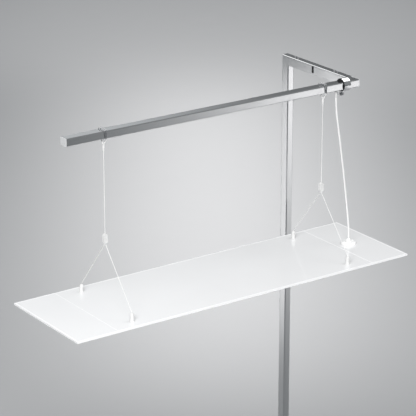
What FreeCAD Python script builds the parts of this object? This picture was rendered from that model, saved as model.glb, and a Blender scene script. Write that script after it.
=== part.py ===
"""Hanging light panel on a floor-fixed post.

A rectangular tube post stands on a bolted flange.  A mitred arm runs forward
from its top to a short end block with a round collar.  The long boom turns in
that collar and carries two wire slings.  From them hang two cords, each with a
height adjuster and a two-leg bridle, and the bridles hold a thin lighting panel.

Frame: millimetres, +Z up, origin at the middle of the flange's underside, on
the post's axis.  +X runs along the boom towards the post, +Y from the boom
back to the post.
"""
import FreeCAD, Part
import math
import os
import re

import Sketcher

V = FreeCAD.Vector
AXES = {"X": V(1, 0, 0), "Y": V(0, 1, 0), "Z": V(0, 0, 1)}

# ---------------------------------------------------------------- dimensions
DIMENSIONS = {
    # square-cornered tube used for the post, the arm, the end block and the boom
    "tube_wide": 40.0,
    "tube_narrow": 30.0,
    "tube_wall": 1.5,
    "tube_corner": 3.5,
    # stand
    "flange_side": 170.0,
    "flange_thick": 10.0,
    "flange_corner": 14.0,
    "bolt_spacing": 130.0,
    "bolt_radius": 5.5,
    "trim_gap": 0.2,
    "trim_wall": 5.0,
    "trim_height": 14.0,
    "axis_height": 1985.0,
    "reach": 412.0,
    "plate_thick": 3.0,
    "wire_hole": 8.0,
    "gland_height": 70.0,
    "gland_bore": 4.0,
    "gland_stem": 7.0,
    "gland_flange": 10.0,
    "gland_nut": 9.5,
    # screws and nut bars in the arm's top
    "dome_radius": 7.0,
    "head_radius": 5.5,
    "head_height": 3.1,
    "shank_radius": 2.5,
    "shank_length": 8.0,
    "hex_radius": 1.7,
    "nut_bar_length": 40.0,
    "nut_bar_thick": 5.0,
    # end block and collar
    "block_left": -27.0,
    "block_right": 18.0,
    "cap_thick": 2.0,
    "plug_depth": 6.0,
    "plug_gap": 0.1,
    "collar_left": -58.5,
    "collar_radius": 26.8,
    "collar_bore": 24.2,
    "collar_disc": 2.0,
    "bush_gap": 0.05,
    "bush_proud": 3.0,
    "clamp_place": -53.0,
    "boss_radius": 5.2,
    "boss_height": 4.4,
    "knob_radius": 9.5,
    "knob_height": 11.0,
    "knob_gap": 0.4,
    "grip_radius": 1.7,
    "screw_radius": 3.0,
    "screw_inside": 8.0,
    "thread_gap": 0.05,
    # boom
    "boom_left": -1313.0,
    "boom_end_gap": 5.0,
    "outlet_place": -79.0,
    "outlet_radius": 5.0,
    "outlet_length": 24.0,
    "outlet_tip": 3.9,
    "driver_left": -330.0,
    "driver_length": 200.0,
    "driver_width": 30.0,
    "driver_height": 21.0,
    # switch in the arm's side
    "switch_place": -180.5,
    "switch_rise": 2.0,
    "switch_height": 28.0,
    "switch_width": 10.0,
    "bezel_thick": 1.2,
    "case_depth": 20.0,
    "case_wall": 0.7,
    "rocker_gap": 0.2,
    "rocker_height": 24.0,
    "rocker_width": 6.6,
    "rocker_tilt": 5.5,
    "pin_depth": 1.6,
    "pin_radius": 1.0,
    # suspension
    "hang_middle": -644.5,
    "hang_offset": 500.5,
    "sling_radius": 1.4,
    "sling_gap": 0.15,
    "sling_rise": 6.5,
    "sling_bend": 11.0,
    "sling_meet": 1.6,
    "ferrule_top": 1943.0,
    "ferrule_length": 23.0,
    "ferrule_radius": 4.7,
    "cord_radius": 1.5,
    "adjuster_top": 1602.0,
    "adjuster_height": 37.0,
    "adjuster_width": 17.0,
    "adjuster_depth": 12.0,
    "cord_end_gap": 0.25,
    "leg_radius": 1.3,
    "leg_place": 3.6,
    "leg_drop": 5.0,
    "stud_place": 174.0,
    # panel
    "panel_length": 1527.0,
    "panel_width": 447.0,
    "panel_top": 1316.0,
    "panel_thick": 7.0,
    "rail_wall": 0.8,
    "rail_lip": 7.0,
    "seam_place": 175.0,
    "seam_gap": 1.0,
    "cover_gap": 0.3,
    "cover_thick": 0.8,
    "film_thick": 0.4,
    "guide_thick": 3.5,
    "guide_inset": 3.8,
    "strip_thick": 2.2,
    # panel fittings
    "stud_height": 33.0,
    "stud_radius": 7.5,
    "stud_base_radius": 10.0,
    "rosette_radius": 31.0,
    "rosette_height": 11.0,
    "rosette_place": 0.5,
    "rosette_round": 5.0,
    "rosette_screw": 20.0,
    "cable_hole": 4.5,
    # power cord
    "power_radius": 3.5,
}

# Places of the screws in the arm's top, from its rear end forward.
TOP_SCREWS = (-42.0, -62.0, -295.0, -315.0)

# Flutes round the clamp's knob.
KNOB_LOBES = 12

# Route of the power cord in the plane of the boom's axis: X and Z of each point,
# from the outlet under the boom down to the round housing on the panel.
POWER_ROUTE = [
    (-79.0, 1946.0), (-79.0, 1898.0), (-64.8, 1815.0), (-48.5, 1718.0), (-32.5, 1618.0),
    (-18.0, 1520.0), (-6.2, 1430.0), (0.5, 1376.0), (0.5, 1341.0),
]

doc = FreeCAD.newDocument("HangingPanel")
sheet = doc.addObject("Spreadsheet::Sheet", "dims")
for row, (name, value) in enumerate(DIMENSIONS.items(), start=1):
    sheet.set("A%d" % row, name)
    sheet.set("B%d" % row, str(value))
    sheet.setAlias("B%d" % row, name)
doc.recompute()

NAMES = re.compile(r"\b(" + "|".join(sorted(DIMENSIONS, key=len, reverse=True)) + r")\b")
parts = {}


# ------------------------------------------------------------------- helpers
def value(text):
    """Number that an expression in the sheet's names comes to."""
    cells = {name: getattr(sheet, name) for name in set(NAMES.findall(str(text)))}
    expression = NAMES.sub(lambda hit: repr(float(cells[hit.group(1)])), str(text))
    total = FreeCAD.Units.Quantity(expression)
    return float(total.Value)


def bind(obj, **properties):
    """Bind an object's properties to expressions in the sheet's names."""
    for name, text in properties.items():
        obj.setExpression(name, NAMES.sub(r"dims.\1", str(text)))


def place(obj, x=0, y=0, z=0, turn=None):
    """Bind an object's position to the sheet, and turn it (axis, degrees)."""
    if turn:
        obj.Placement = FreeCAD.Placement(V(), FreeCAD.Rotation(AXES[turn[0]], turn[1]))
    for axis, text in zip("xyz", (x, y, z)):
        obj.setExpression("Placement.Base." + axis, NAMES.sub(r"dims.\1", str(text)))
    return obj


def box(x, y, z, length, width, height):
    """Box from its low corner."""
    obj = doc.addObject("Part::Box", "Box")
    bind(obj, Length=length, Width=width, Height=height)
    return place(obj, x, y, z)


def cylinder(axis, x, y, z, radius, length):
    """Cylinder that starts at a point and runs along +axis."""
    obj = doc.addObject("Part::Cylinder", "Cylinder")
    bind(obj, Radius=radius, Height=length)
    turn = {"X": ("Y", 90), "Y": ("X", -90), "Z": None}[axis]
    return place(obj, x, y, z, turn)


def cone(x, y, z, radius_low, radius_high, height):
    """Upright cone from the middle of its lower face."""
    obj = doc.addObject("Part::Cone", "Cone")
    bind(obj, Radius1=radius_low, Radius2=radius_high, Height=height)
    return place(obj, x, y, z)


def fuse(*shapes):
    obj = doc.addObject("Part::MultiFuse", "Fuse")
    obj.Shapes = list(shapes)
    return obj


def cut(base, *tools):
    obj = doc.addObject("Part::Cut", "Cut")
    obj.Base = base
    obj.Tool = tools[0] if len(tools) == 1 else fuse(*tools)
    return obj


def group(*shapes):
    obj = doc.addObject("Part::Compound", "Group")
    obj.Links = list(shapes)
    return obj


def edges_along(shape, axis):
    """Numbers of a shape's straight edges along an axis."""
    found = []
    for number, edge in enumerate(shape.Edges, start=1):
        if edge.Curve.TypeId != "Part::GeomLine":
            continue
        if edge.tangentAt(edge.FirstParameter).cross(AXES[axis]).Length < 1e-6:
            found.append(number)
    return found


def circles_at(shape, axis, level):
    """Numbers of a shape's round edges that lie at one level along an axis."""
    index = "XYZ".index(axis)
    found = []
    for number, edge in enumerate(shape.Edges, start=1):
        if edge.Curve.TypeId != "Part::GeomCircle":
            continue
        if abs(edge.Curve.Center[index] - level) < 1e-4 and abs(edge.Curve.Axis[index]) > 0.999:
            found.append(number)
    return found


def round_edges(base, radius, numbers):
    obj = doc.addObject("Part::Fillet", "Rounded")
    obj.Base = base
    obj.Edges = [(number, radius, radius) for number in numbers]
    return obj


def rectangle_sketch(body, name, wide, narrow):
    """Sketch of a rectangle about the origin, its sides bound to the sheet."""
    sketch = body.newObject("Sketcher::SketchObject", name)
    plane = [f for f in body.Origin.OriginFeatures if f.Role == "XY_Plane"][0]
    sketch.AttachmentSupport = [(plane, "")]
    sketch.MapMode = "FlatFace"
    half_wide, half_narrow = value(wide) / 2, value(narrow) / 2
    corners = [V(-half_wide, -half_narrow), V(half_wide, -half_narrow),
               V(half_wide, half_narrow), V(-half_wide, half_narrow)]
    for start in range(4):
        sketch.addGeometry(Part.LineSegment(corners[start], corners[(start + 1) % 4]))
    for line in range(4):
        sketch.addConstraint(Sketcher.Constraint("Coincident", line, 2, (line + 1) % 4, 1))
        sketch.addConstraint(Sketcher.Constraint("Horizontal" if line % 2 == 0 else "Vertical", line))
    sketch.addConstraint(Sketcher.Constraint("Symmetric", 0, 1, 1, 2, -1, 1))
    for label, line, kind, size in (("wide", 0, "DistanceX", 2 * half_wide),
                                    ("narrow", 1, "DistanceY", 2 * half_narrow)):
        number = sketch.addConstraint(Sketcher.Constraint(kind, line, 1, line, 2, size))
        sketch.renameConstraint(number, label)
    bind(sketch, **{"Constraints.wide": wide, "Constraints.narrow": narrow})
    return sketch


def bar(wide, narrow, length, corner="tube_corner"):
    """PartDesign bar with rounded long edges: wide along X, narrow along Y, up +Z."""
    body = doc.addObject("PartDesign::Body", "Bar")
    pad = body.newObject("PartDesign::Pad", "Pad")
    pad.Profile = rectangle_sketch(body, "Outline", wide, narrow)
    bind(pad, Length=length)
    doc.recompute()
    fillet = body.newObject("PartDesign::Fillet", "Corners")
    fillet.Base = (pad, ["Edge%d" % n for n in edges_along(pad.Shape, "Z")])
    bind(fillet, Radius=corner)
    body.Tip = fillet
    doc.recompute()
    return body


def tube(wide, narrow, length):
    """The bar made hollow by a second sketch and a pocket through its length."""
    body = bar(wide, narrow, length)
    before = body.Shape.Volume
    pocket = body.newObject("PartDesign::Pocket", "Hollow")
    pocket.Profile = rectangle_sketch(body, "Hollow", wide + " - 2 * tube_wall",
                                      narrow + " - 2 * tube_wall")
    pocket.Type = "ThroughAll"
    pocket.Reversed = True
    body.Tip = pocket
    doc.recompute()
    if body.Shape.Volume > 0.4 * before:
        raise RuntimeError("the tube's pocket cut nothing")
    return body


def route_wire(points):
    """Straight runs joined by tangent arcs; returns the wire and the arcs' radii."""
    edges, radii = [], []
    start = points[0]
    for before, corner, after in zip(points, points[1:], points[2:]):
        to_before, to_after = before - corner, after - corner
        shorter = min(to_before.Length, to_after.Length)
        back, ahead = to_before.normalize(), to_after.normalize()
        turn = math.pi - back.getAngle(ahead)
        reach = 0.45 * shorter
        first, last = corner + back * reach, corner + ahead * reach
        radius = reach / math.tan(turn / 2)
        radii.append(radius)
        middle_way = (back + ahead).normalize()
        middle = corner + middle_way * (radius / math.cos(turn / 2) - radius)
        edges.append(Part.LineSegment(start, first).toShape())
        edges.append(Part.Arc(first, middle, last).toShape())
        start = last
    edges.append(Part.LineSegment(start, points[-1]).toShape())
    return Part.Wire(edges), radii


def cord(points, radius):
    """Part::Feature with a round cord along a route, checked by its volume."""
    wire, radii = route_wire(points)
    first = (points[1] - points[0]).normalize()
    ring = Part.Wire([Part.makeCircle(radius, points[0], first)])
    solid = wire.makePipeShell([ring], True, False)
    expected = math.pi * radius ** 2 * wire.Length
    print("cord: %.0f mm long, volume ratio %.4f, radii %s"
          % (wire.Length, solid.Volume / expected, [round(r) for r in radii]))
    if abs(solid.Volume / expected - 1) > 0.02:
        raise RuntimeError("a cord's volume is wrong")
    obj = doc.addObject("Part::Feature", "Cord")
    obj.Shape = solid
    return obj


def end_cap(x, plug_x):
    """Flat cap on a tube laid along X, with a plug inside the tube."""
    cap = bar("tube_narrow", "tube_wide", "cap_thick")
    plug = bar("tube_narrow - 2 * tube_wall - 2 * plug_gap", "tube_wide - 2 * tube_wall - 2 * plug_gap",
               "plug_depth", "tube_corner - tube_wall")
    place(cap, x, "-reach", "axis_height", ("Y", 90))
    place(plug, plug_x, "-reach", "axis_height", ("Y", 90))
    return fuse(cap, plug)


def keep(label, obj):
    """Name a finished sub-part."""
    obj.Label = label
    parts[label] = obj
    return obj


# --------------------------------------------------------------------- stand
def make_stand():
    side, thick = "flange_side", "flange_thick"
    plate = bar(side, side, thick, "flange_corner")
    holes = [cylinder("Z", "%s * bolt_spacing / 2" % sx, "%s * bolt_spacing / 2" % sy, -1,
                      "bolt_radius", "flange_thick + 2") for sx in (-1, 1) for sy in (-1, 1)]
    keep("floor_flange", cut(plate, *holes))

    # Post: wide side front to back, mitred at 45 degrees under the arm's rear end.
    post = tube("tube_narrow", "tube_wide", "axis_height + tube_wide / 2 - flange_thick")
    place(post, z=thick)
    gland_hole = cylinder("Y", 0, "tube_wide / 4", "gland_height", "gland_stem", "tube_wide / 2")
    keep("post_tube", cut(post, mitre_wedge(above=True), gland_hole))

    trim = bar("tube_narrow + 2 * trim_gap + 2 * trim_wall", "tube_wide + 2 * trim_gap + 2 * trim_wall",
               "trim_height", "tube_corner + trim_wall")
    hole = bar("tube_narrow + 2 * trim_gap", "tube_wide + 2 * trim_gap", "trim_height + 2")
    place(trim, z=thick)
    place(hole, z="flange_thick - 1")
    keep("foot_trim", cut(trim, hole))

    # Cable gland through the post's back wall, with a domed nut outside.
    back = "tube_wide / 2"
    gland = fuse(cylinder("Y", 0, back + " - 8", "gland_height", "gland_stem", 8),
                 cylinder("Y", 0, back, "gland_height", "gland_flange", 5),
                 cylinder("Y", 0, back + " + 5", "gland_height", "gland_stem + 0.2", 12))
    bore = cylinder("Y", 0, back + " - 9", "gland_height", "gland_bore", 40)
    keep("mains_gland", cut(gland, bore))
    nut = fuse(cylinder("Y", 0, back + " + 5.2", "gland_height", "gland_nut", 9),
               place(cone(0, 0, 0, "gland_nut", "gland_nut - 3", 4),
                     0, back + " + 14.2", "gland_height", ("X", -90)))
    nut_bore = cylinder("Y", 0, back + " + 4", "gland_height", "gland_stem + 0.3", 13)
    nut_mouth = cylinder("Y", 0, back + " + 4", "gland_height", "gland_bore", 30)
    keep("mains_gland_nut", cut(nut, nut_bore, nut_mouth))


def mitre_wedge(above):
    """Block on one side of the 45 degree plane through the elbow's inner and outer corners."""
    size = 4 * value("tube_wide")
    block = doc.addObject("Part::Box", "Wedge")
    block.Length = size
    block.Width = size
    block.Height = size
    elbow = FreeCAD.Placement(V(0, 0, value("axis_height")), FreeCAD.Rotation(AXES["X"], 45))
    low_corner = V(-size / 2, -size / 2, 0 if above else -size)
    block.Placement = elbow.multiply(FreeCAD.Placement(low_corner, FreeCAD.Rotation()))
    return block


def make_arm():
    arm_front = "(-reach + tube_wide / 2 + plate_thick)"
    back = "tube_wide / 2"
    # Arm: the same tube laid along Y, its wide side upright.
    arm = tube("tube_narrow", "tube_wide", "tube_wide / 2 - %s" % arm_front)
    place(arm, 0, back, "axis_height", ("X", 90))
    slot = box("-tube_narrow", "switch_place - rocker_width / 2 - 1",
               "axis_height + switch_rise - switch_height / 2 + 1",
               "tube_narrow", "rocker_width + 2", "switch_height - 2")
    screw_holes = [cylinder("Z", 0, y, "axis_height", "shank_radius + 0.1", 30) for y in TOP_SCREWS]
    keep("arm_tube", cut(arm, mitre_wedge(above=False), slot, *screw_holes))

    plate = box("-tube_narrow / 2", "-reach + tube_wide / 2", "axis_height - tube_wide / 2",
                "tube_narrow", "plate_thick", "tube_wide")
    wires = cylinder("Y", 0, "-reach", "axis_height", "wire_hole", "tube_wide + 20")
    keep("arm_end_plate", cut(plate, wires))

    keep("arm_screws", group(*[top_screw(y) for y in TOP_SCREWS]))
    keep("arm_nut_bars", group(nut_bar(TOP_SCREWS[:2]), nut_bar(TOP_SCREWS[2:])))


def nut_bar(pair):
    """Bar under the arm's top wall that two of the screws are threaded into."""
    middle = sum(pair) / 2
    blank = box("-tube_narrow / 2 + tube_wall + 1.5", "%s - nut_bar_length / 2" % middle,
                "axis_height + tube_wide / 2 - tube_wall - nut_bar_thick",
                "tube_narrow - 2 * tube_wall - 3", "nut_bar_length", "nut_bar_thick")
    return cut(blank, *[cylinder("Z", 0, y, "axis_height", "shank_radius", 30) for y in pair])


def top_screw(y):
    """Domed socket screw standing in the arm's top wall."""
    top = "axis_height + tube_wide / 2"
    head = doc.addObject("Part::Sphere", "Dome")
    bind(head, Radius="dome_radius")
    place(head, 0, y, top + " + head_height - dome_radius")
    cap = doc.addObject("Part::Common", "Head")
    cap.Base = head
    cap.Tool = cylinder("Z", 0, y, top, "head_radius", "head_height + 1")
    shank = cylinder("Z", 0, y, top + " - shank_length", "shank_radius", "shank_length + 0.5")
    socket = cylinder("Z", 0, y, top + " + 1.2", "hex_radius", "head_height")
    return cut(fuse(cap, shank), socket)


def make_end_block():
    block = tube("tube_narrow", "tube_wide", "block_right - block_left")
    place(block, "block_left", "-reach", "axis_height", ("Y", 90))
    wires = cylinder("Y", 0, "-reach", "axis_height", "wire_hole", "tube_wide")
    keep("end_block", cut(block, wires))

    keep("end_block_cap", end_cap("block_right", "block_right - plug_depth"))

    # Collar: round sleeve closed by a disc against the end block.
    at = ("-reach", "axis_height")
    sleeve = cylinder("X", "collar_left", *at, "collar_radius", "block_left - collar_left")
    hollow = cylinder("X", "collar_left - 1", *at, "collar_bore", "block_left - collar_left - collar_disc + 1")
    wires = cylinder("X", "block_left - 10", *at, "wire_hole", 20)
    thread = cylinder("Z", "clamp_place", "-reach", "axis_height - collar_radius - 10",
                      "screw_radius + thread_gap", 20)
    keep("collar_sleeve", cut(sleeve, hollow, wires, thread))

    # Boss for the clamp screw, saddled on the collar's underside.
    boss = cylinder("Z", "clamp_place", "-reach", "axis_height - collar_radius - boss_height",
                    "boss_radius", "2 * boss_height")
    saddle = cylinder("X", "collar_left - 1", *at, "collar_radius", 60)
    boss_thread = cylinder("Z", "clamp_place", "-reach", "axis_height - 40",
                           "screw_radius + thread_gap", 30)
    keep("clamp_boss", cut(boss, saddle, boss_thread))


def make_clamp():
    low = "axis_height - collar_radius - boss_height - knob_gap - knob_height"
    knob = cylinder("Z", "clamp_place", "-reach", low, "knob_radius", "knob_height")
    ring = value("knob_radius") + 0.6 * value("grip_radius")
    grips = []
    for lobe in range(KNOB_LOBES):
        angle = 2 * math.pi * lobe / KNOB_LOBES
        grips.append(cylinder("Z", "clamp_place + %.4f" % (ring * math.cos(angle)),
                              "-reach + %.4f" % (ring * math.sin(angle)), low + " - 1", "grip_radius",
                              "knob_height + 2"))
    start = low + " + knob_height - screw_inside"
    socket = cylinder("Z", "clamp_place", "-reach", start, "screw_radius", 30)
    keep("clamp_knob", cut(knob, socket, *grips))
    length = value("axis_height - collar_bore") - 0.3 - value(start)
    keep("clamp_screw", cylinder("Z", "clamp_place", "-reach", start, "screw_radius", length))


def make_switch():
    side = "-tube_narrow / 2"
    middle_z = "(axis_height + switch_rise)"
    half_well = "(rocker_width / 2 + rocker_gap)"
    half_rise = "(rocker_height / 2 + rocker_gap)"
    bezel = box(side + " - bezel_thick", "switch_place - switch_width / 2",
                middle_z + " - switch_height / 2", "bezel_thick", "switch_width", "switch_height")
    case = box(side, "switch_place - %s - case_wall" % half_well,
               "%s - %s - case_wall" % (middle_z, half_rise),
               "case_depth", "2 * %s + 2 * case_wall" % half_well, "2 * %s + 2 * case_wall" % half_rise)
    well = box(side + " - 2", "switch_place - " + half_well, "%s - %s" % (middle_z, half_rise),
               "0.6 * case_depth", "2 * " + half_well, "2 * " + half_rise)
    pin_hole = cylinder("Y", side + " + pin_depth", "switch_place - 10", middle_z, "pin_radius + 0.05", 20)
    keep("switch_housing", cut(fuse(bezel, case), well, pin_hole))

    # Rocker: a bar with a shallow V face, tilted on its pin so that its lower half stands out.
    half = value("rocker_height") / 2 - 1.2
    tilt = value("rocker_tilt")
    wide = value("rocker_width - rocker_gap")
    crease = -3.6
    rise = half * math.tan(math.radians(tilt))
    back, back_half = 2.2, 0.86 * half
    outline = [V(crease, 0, 0), V(crease + rise, 0, half), V(back, 0, back_half),
               V(back, 0, -back_half), V(crease + rise, 0, -half), V(crease, 0, 0)]
    solid = Part.Face(Part.makePolygon(outline)).extrude(V(0, wide, 0))
    solid.translate(V(0, -wide / 2, 0))
    pin_room = Part.makeCylinder(value("pin_radius") + 0.05, 2 * wide, V(0, -wide, 0), AXES["Y"])
    rocker = doc.addObject("Part::Feature", "Rocker")
    rocker.Shape = solid.cut(pin_room)
    pin = V(value(side + " + pin_depth"), value("switch_place"), value(middle_z))
    rocker.Placement = FreeCAD.Placement(pin, FreeCAD.Rotation(AXES["Y"], tilt))
    keep("switch_rocker", rocker)
    keep("rocker_pin", cylinder("Y", side + " + pin_depth", "switch_place - %s - case_wall" % half_well,
                                middle_z, "pin_radius", "2 * %s + 2 * case_wall" % half_well))


# ---------------------------------------------------------------------- boom
def make_boom():
    at = ("-reach", "axis_height")
    cap_start = "boom_left + cap_thick"
    right = "(block_left - collar_disc - boom_end_gap)"
    boom = tube("tube_narrow", "tube_wide", "%s - (%s)" % (right, cap_start))
    place(boom, cap_start, *at, ("Y", 90))
    outlet_hole = cylinder("Z", "outlet_place", "-reach", "axis_height - tube_narrow / 2 - 3",
                           "power_radius + 0.1", 10)
    keep("boom_tube", cut(boom, outlet_hole))

    keep("boom_end_cap", end_cap("boom_left", cap_start))

    # Black bush that fills the collar around the boom.
    start = "collar_left - bush_proud"
    disc = cylinder("X", start, *at, "collar_bore - bush_gap", "%s - (%s)" % (right, start))
    seat = bar("tube_narrow", "tube_wide", 80)
    place(seat, start + " - 10", *at, ("Y", 90))
    keep("collar_bush", cut(disc, seat))

    floor = "axis_height - tube_narrow / 2 + tube_wall"
    driver = box("driver_left", "-reach - driver_width / 2", floor,
                 "driver_length", "driver_width", "driver_height")
    feet = box("driver_left - 8", "-reach - driver_width / 2 + 4", floor,
               "driver_length + 16", "driver_width - 8", 3)
    keep("led_driver", fuse(driver, feet))

    # Cord outlet under the boom: a threaded stem with a collar, narrowing to the cord.
    top = "axis_height - tube_narrow / 2"
    stem = fuse(cylinder("Z", "outlet_place", "-reach", top, "power_radius + 0.1", 5),
                cylinder("Z", "outlet_place", "-reach", top + " - 0.6 * outlet_length",
                         "outlet_radius", "0.6 * outlet_length"),
                cone("outlet_place", "-reach", top + " - outlet_length",
                     "outlet_tip", "outlet_radius", "0.4 * outlet_length"))
    keep("cord_outlet", stem)

    for side, x in HANG_PLACES.items():
        keep(side + "_sling", sling(x))


def sling(x):
    """Stiff wire once round the boom, arched above it, its two legs meeting over the ferrule."""
    radius, gap = value("sling_radius"), value("sling_gap")
    side_y = value("tube_wide") / 2 + gap + radius
    half_height = value("tube_narrow") / 2
    low_bend, high_bend = value("tube_corner") + gap + radius, value("sling_bend")
    low_centre = (side_y - low_bend, low_bend - gap - radius - half_height)
    high_centre = (side_y - high_bend, half_height + value("sling_rise") - high_bend)
    meet_y, meet_z = value("sling_meet"), value("ferrule_top - axis_height")

    # A leg leaves the meeting point and runs tangent to the arc round the boom's lower edge.
    leg_y, leg_z = low_centre[0] - meet_y, low_centre[1] - meet_z
    slope = math.atan2(leg_y, leg_z) + math.asin(low_bend / math.hypot(leg_y, leg_z))

    def on_arc(sign, centre, bend, angle):
        """Point on a bend, its angle measured upwards from the boom's side."""
        return V(value(x), -value("reach") + sign * (centre[0] + bend * math.cos(angle)),
                 value("axis_height") + centre[1] + bend * math.sin(angle))

    halves = []
    for sign in (1, -1):
        start = V(value(x), -value("reach") + sign * meet_y, value("ferrule_top"))
        low = [on_arc(sign, low_centre, low_bend, -slope * share) for share in (1, 0.5, 0)]
        high = [on_arc(sign, high_centre, high_bend, math.pi / 2 * share) for share in (0, 0.5, 1)]
        pieces = [Part.LineSegment(start, low[0]), Part.Arc(*low), Part.LineSegment(low[2], high[0]),
                  Part.Arc(*high)]
        halves.append(([piece.toShape() for piece in pieces], start, low[0], high[2]))
    bridge = Part.LineSegment(halves[0][3], halves[1][3]).toShape()
    wire = Part.Wire(halves[0][0] + [bridge] + halves[1][0][::-1])
    ring = Part.Wire([Part.makeCircle(radius, halves[0][1], halves[0][2] - halves[0][1])])
    obj = doc.addObject("Part::Feature", "Sling")
    obj.Shape = wire.makePipeShell([ring], True, False)
    return obj


# ---------------------------------------------------------------- suspension
HANG_PLACES = {"left": "hang_middle - hang_offset", "right": "hang_middle + hang_offset"}


def make_suspension():
    cord_top = "(ferrule_top - ferrule_length - cord_end_gap)"
    cord_low = "(adjuster_top - adjuster_height + 3)"
    for side, x in HANG_PLACES.items():
        ferrule = cylinder("Z", x, "-reach", "ferrule_top - ferrule_length", "ferrule_radius",
                           "ferrule_length")
        doc.recompute()
        ends = circles_at(ferrule.Shape, "Z", value("ferrule_top")) \
            + circles_at(ferrule.Shape, "Z", value("ferrule_top - ferrule_length"))
        keep(side + "_ferrule", round_edges(ferrule, 1.6, ends))
        keep(side + "_cord", cylinder("Z", x, "-reach", cord_low, "cord_radius",
                                      "%s - %s" % (cord_top, cord_low)))
        keep(side + "_adjuster", adjuster(x))
        for way, sign in (("front", -1), ("back", 1)):
            keep("%s_%s_leg" % (side, way), leg(x, sign))
            keep("%s_%s_stud" % (side, way), stud(x, sign))


def adjuster(x):
    """Flat cord adjuster with rounded ends: one cord runs down through it, two legs hang from it."""
    low = "(adjuster_top - adjuster_height)"
    half = "adjuster_width / 2"
    face_y = "-reach - adjuster_depth / 2"
    waist = box("%s - %s" % (x, half), face_y, "%s + %s" % (low, half),
                "adjuster_width", "adjuster_depth", "adjuster_height - adjuster_width")
    ends = [cylinder("Y", x, face_y, z, half, "adjuster_depth")
            for z in ("%s + %s" % (low, half), "adjuster_top - " + half)]
    hole = cylinder("Z", x, "-reach", low + " - 1", "cord_radius + 0.4", "adjuster_height + 2")
    sockets = [cylinder("Z", x, "-reach + %d * leg_place" % sign, low + " - 1", "leg_radius + 0.05", 7)
               for sign in (-1, 1)]
    groove = box("%s - 1.7" % x, face_y + " - 1", low + " + 9", 3.4, 2.2, "adjuster_height - 18")
    blank = fuse(waist, *ends)
    blank.Refine = True
    return cut(blank, hole, groove, *sockets)


def leg(x, sign):
    """Bridle leg: out of the adjuster's underside, round a short bend and straight to its stud."""
    low = value("adjuster_top - adjuster_height")
    near = -value("reach") + sign * value("leg_place")
    far = -value("reach") + sign * value("stud_place")
    points = [V(value(x), near, low + 6), V(value(x), near, low - value("leg_drop")),
              V(value(x), far, value("panel_top + stud_height"))]
    return cord(points, value("leg_radius"))


def stud(x, sign):
    """Cord holder on the panel: base washer, barrel and a coned top."""
    y = "-reach + %d * stud_place" % sign
    base = cylinder("Z", x, y, "panel_top", "stud_base_radius", 3)
    barrel = cylinder("Z", x, y, "panel_top + 3", "stud_radius", "stud_height - 9")
    top = cone(x, y, "panel_top + stud_height - 6", "stud_radius", 3.2, 6)
    return fuse(base, barrel, top)


def make_power_cord():
    y = -value("reach")
    points = [V(x, y, z) for x, z in POWER_ROUTE]
    keep("power_cord", cord(points, value("power_radius")))


# --------------------------------------------------------------------- panel
def make_panel():
    left = "(hang_middle - panel_length / 2)"
    right = "(hang_middle + panel_length / 2)"
    front = "(-reach - panel_width / 2)"
    back = "(-reach + panel_width / 2)"
    low = "(panel_top - panel_thick)"

    # Edge rails, U-shaped and open inwards: the long pair runs full length, the short pair between.
    for name, outer_y, inner_y in (("front", front, front + " + rail_wall"),
                                   ("back", back + " - rail_lip", back + " - rail_lip - 1")):
        outer = box(left, outer_y, low, "panel_length", "rail_lip", "panel_thick")
        inner = box(left + " + rail_wall", inner_y, low + " + rail_wall",
                    "panel_length - 2 * rail_wall", "rail_lip - rail_wall + 1",
                    "panel_thick - 2 * rail_wall")
        keep("panel_rail_" + name, cut(outer, inner))
    for name, outer_x, inner_x in (("left", left, left + " + rail_wall"),
                                   ("right", right + " - rail_lip", right + " - rail_lip - 1")):
        outer = box(outer_x, front + " + rail_lip", low, "rail_lip", "panel_width - 2 * rail_lip",
                    "panel_thick")
        inner = box(inner_x, front + " + rail_lip - 1", low + " + rail_wall", "rail_lip - rail_wall + 1",
                    "panel_width - 2 * rail_lip + 2", "panel_thick - 2 * rail_wall")
        keep("panel_rail_" + name, cut(outer, inner))

    # Back cover in three lengths, let in flush between the rails' upper lips.
    cover_low = "(panel_top - cover_thick)"
    cover_left = "(%s + rail_lip + cover_gap)" % left
    cover_right = "(%s - rail_lip - cover_gap)" % right
    cover_front = "(%s + rail_lip + cover_gap)" % front
    cover_width = "panel_width - 2 * rail_lip - 2 * cover_gap"
    left_seam = "(%s + seam_place)" % left
    right_seam = "(%s - seam_place)" % right
    for name, start, end in (("left", cover_left, left_seam + " - seam_gap / 2"),
                             ("main", left_seam + " + seam_gap / 2", right_seam + " - seam_gap / 2"),
                             ("right", right_seam + " + seam_gap / 2", cover_right)):
        cover = box(start, cover_front, cover_low, "%s - (%s)" % (end, start), cover_width, "cover_thick")
        if name == "right":
            cover = cut(cover, cylinder("Z", "rosette_place", "-reach", "panel_top - 5", "cable_hole", 10))
        keep("panel_%s_cover" % name, cover)

    # Optical stack under the covers, from the white film down to the opal sheet.
    stack = [left + " + rail_wall + cover_gap", front + " + guide_inset"]
    stack_size = ["panel_length - 2 * rail_wall - 2 * cover_gap", "panel_width - 2 * guide_inset"]
    film_low = "(%s - film_thick)" % cover_low
    guide_low = "(%s - guide_thick)" % film_low
    opal_low = "(%s + cover_gap)" % low
    keep("reflector_sheet", box(*stack, film_low, *stack_size, "film_thick"))
    keep("light_guide", box(*stack, guide_low, *stack_size, "guide_thick"))
    keep("diffuser_sheet", box(cover_left, cover_front, opal_low,
                               "panel_length - 2 * rail_lip - 2 * cover_gap", cover_width,
                               "%s - %s" % (guide_low, opal_low)))
    for name, y in (("front", front + " + rail_wall + 0.2"),
                    ("back", back + " - rail_wall - 0.2 - strip_thick")):
        keep("led_strip_" + name, box(stack[0], y, guide_low, stack_size[0], "strip_thick", "guide_thick"))

    make_rosette()


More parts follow.
